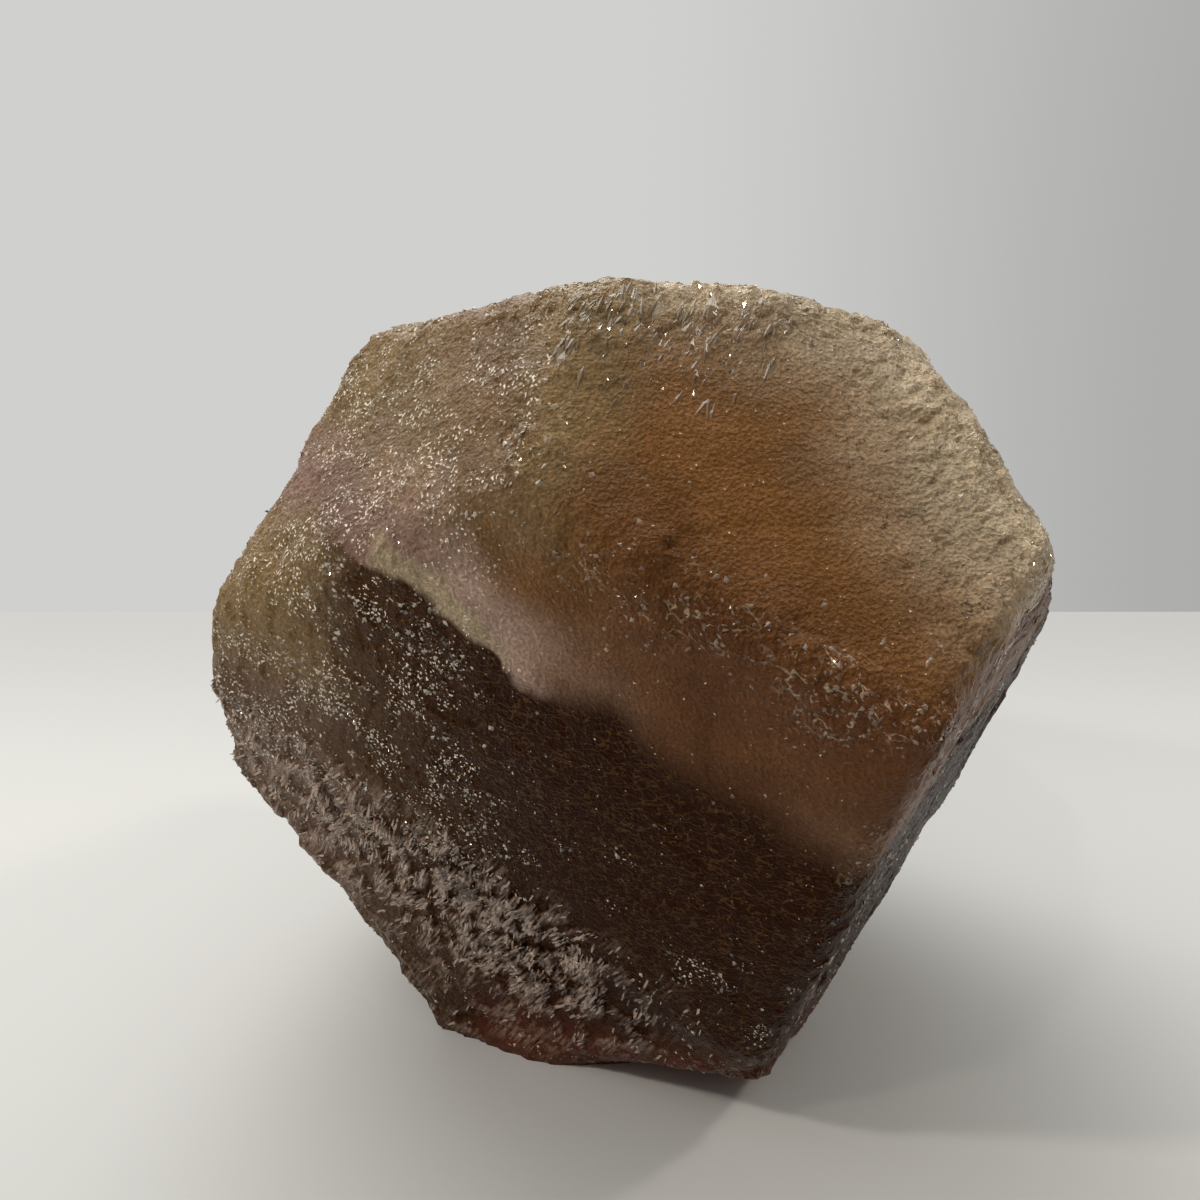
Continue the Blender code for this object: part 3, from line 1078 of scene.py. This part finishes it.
def add_floor():
    """A sheet of pale paper with painted shade: a little darker near the camera and towards its far edge.
    """
    corners = [(-FLOOR_SIDE, FLOOR_FRONT), (FLOOR_SIDE, FLOOR_FRONT),
               (FLOOR_SIDE, FLOOR_BACK), (-FLOOR_SIDE, FLOOR_BACK)]
    mesh = bpy.data.meshes.new("floor")
    mesh.from_pydata([(x * MM, y * MM, 0.0) for x, y in corners], [], [(0, 1, 2, 3)])
    floor = bpy.data.objects.new("floor", mesh)
    bpy.context.scene.collection.objects.link(floor)
    material = bpy.data.materials.new("paper")
    graph = Graph(material)
    sockets = graph.nodes["Principled BSDF"].inputs
    coords = graph.add("ShaderNodeTexCoord").outputs["Object"]
    y = graph.add("ShaderNodeSeparateXYZ", {0: coords}).outputs["Y"]
    colour = graph.blend(graph.ramp(y, *FLOOR_NEAR_Y), PAPER_SHADED_NEAR, PAPER)
    colour = graph.blend(graph.ramp(y, *FLOOR_FAR_Y), colour, PAPER_SHADED_FAR)
    graph.put(sockets["Base Color"], colour)
    sockets["Roughness"].default_value = 0.8
    sockets["Specular IOR Level"].default_value = 0.0
    mesh.materials.append(material)


def add_camera():
    """The photograph's viewing angle: close to the crystal and looking down on it."""
    data = bpy.data.cameras.new("camera")
    data.lens = CAMERA_LENS
    data.sensor_width = CAMERA_SENSOR
    data.clip_start = CAMERA_CLIP * MM
    camera = bpy.data.objects.new("camera", data)
    bpy.context.scene.collection.objects.link(camera)
    camera.location = (CENTRE + CAMERA_OFFSET) * MM
    camera.rotation_euler = (math.radians(90.0 - CAMERA_PITCH), 0.0, 0.0)
    bpy.context.scene.camera = camera


def add_world():
    """Light from all round, strongest from behind and above and weakest from the right."""
    world = bpy.data.worlds.new("studio")
    bpy.context.scene.world = world
    graph = Graph(world)
    coords = graph.add("ShaderNodeTexCoord").outputs["Generated"]
    split = graph.add("ShaderNodeSeparateXYZ", {0: coords})
    ramps = [graph.ramp(split.outputs[axis], *limits) for axis, limits in WORLD_RAMPS.items()]
    background = graph.nodes["Background"].inputs
    graph.put(background["Strength"], graph.largest(graph.total(*ramps), WORLD_LEAST))
    background["Color"].default_value = DAYLIGHT


def add_light(name, place, size, power, colour):
    """A square soft light aimed at the crystal."""
    data = bpy.data.lights.new(name, "AREA")
    data.color = colour
    data.size = size
    data.energy = power
    light = bpy.data.objects.new(name, data)
    bpy.context.scene.collection.objects.link(light)
    light.location = place
    light.rotation_mode = "QUATERNION"
    aim = LIGHT_AIM - light.location
    light.rotation_quaternion = aim.to_track_quat("-Z", "Y")


def add_lights():
    """One large window light and three small ones that make the grains sparkle."""
    for name, light in LIGHTS.items():
        add_light(name, **light)


# ---------------------------------------------------------------- build

def build():
    """Load the frame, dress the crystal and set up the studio."""
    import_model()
    planes = growth_planes()
    crystal = crystal_piece(planes)
    places, _normals = mesh_arrays(crystal.data)
    for name, amount in (("frost", frost_and_painted_light), ("glint", glint_amount), ("glass", glass_amount)):
        attribute = crystal.data.attributes.new(name, "FLOAT", "POINT")
        attribute.data.foreach_set("value", amount(places, planes).astype(np.float32))
    solids = add_small_solids(crystal.data, planes)
    materials = [
        surface_material(),
        grain_material("flaky_fluorite", FLAKY, share=0.75, gain=1.0, roughness=0.20, transmission=0.4),
        grain_material("glassy_fluorite", GLASSY, share=0.2, gain=0.8, roughness=0.14, transmission=0.5),
        grain_material("chipped_fluorite", WHITE, share=0.32, gain=1.0, roughness=0.07, transmission=0.4),
        # The sparkling grains are real solids, and their whiteness is partly painted glints.
        grain_material("glint_white_fluorite", WHITE, share=0.75, gain=1.0, roughness=0.10, transmission=0.3),
    ]
    for piece, material in zip([crystal] + solids, materials):
        to_frame(piece.data)
        piece.data.materials.clear()
        piece.data.materials.append(material)
        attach(piece, "root")
    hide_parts(NODE)
    add_floor()
    add_camera()
    add_world()
    add_lights()
    bpy.context.scene.view_settings.view_transform = "Standard"


build()
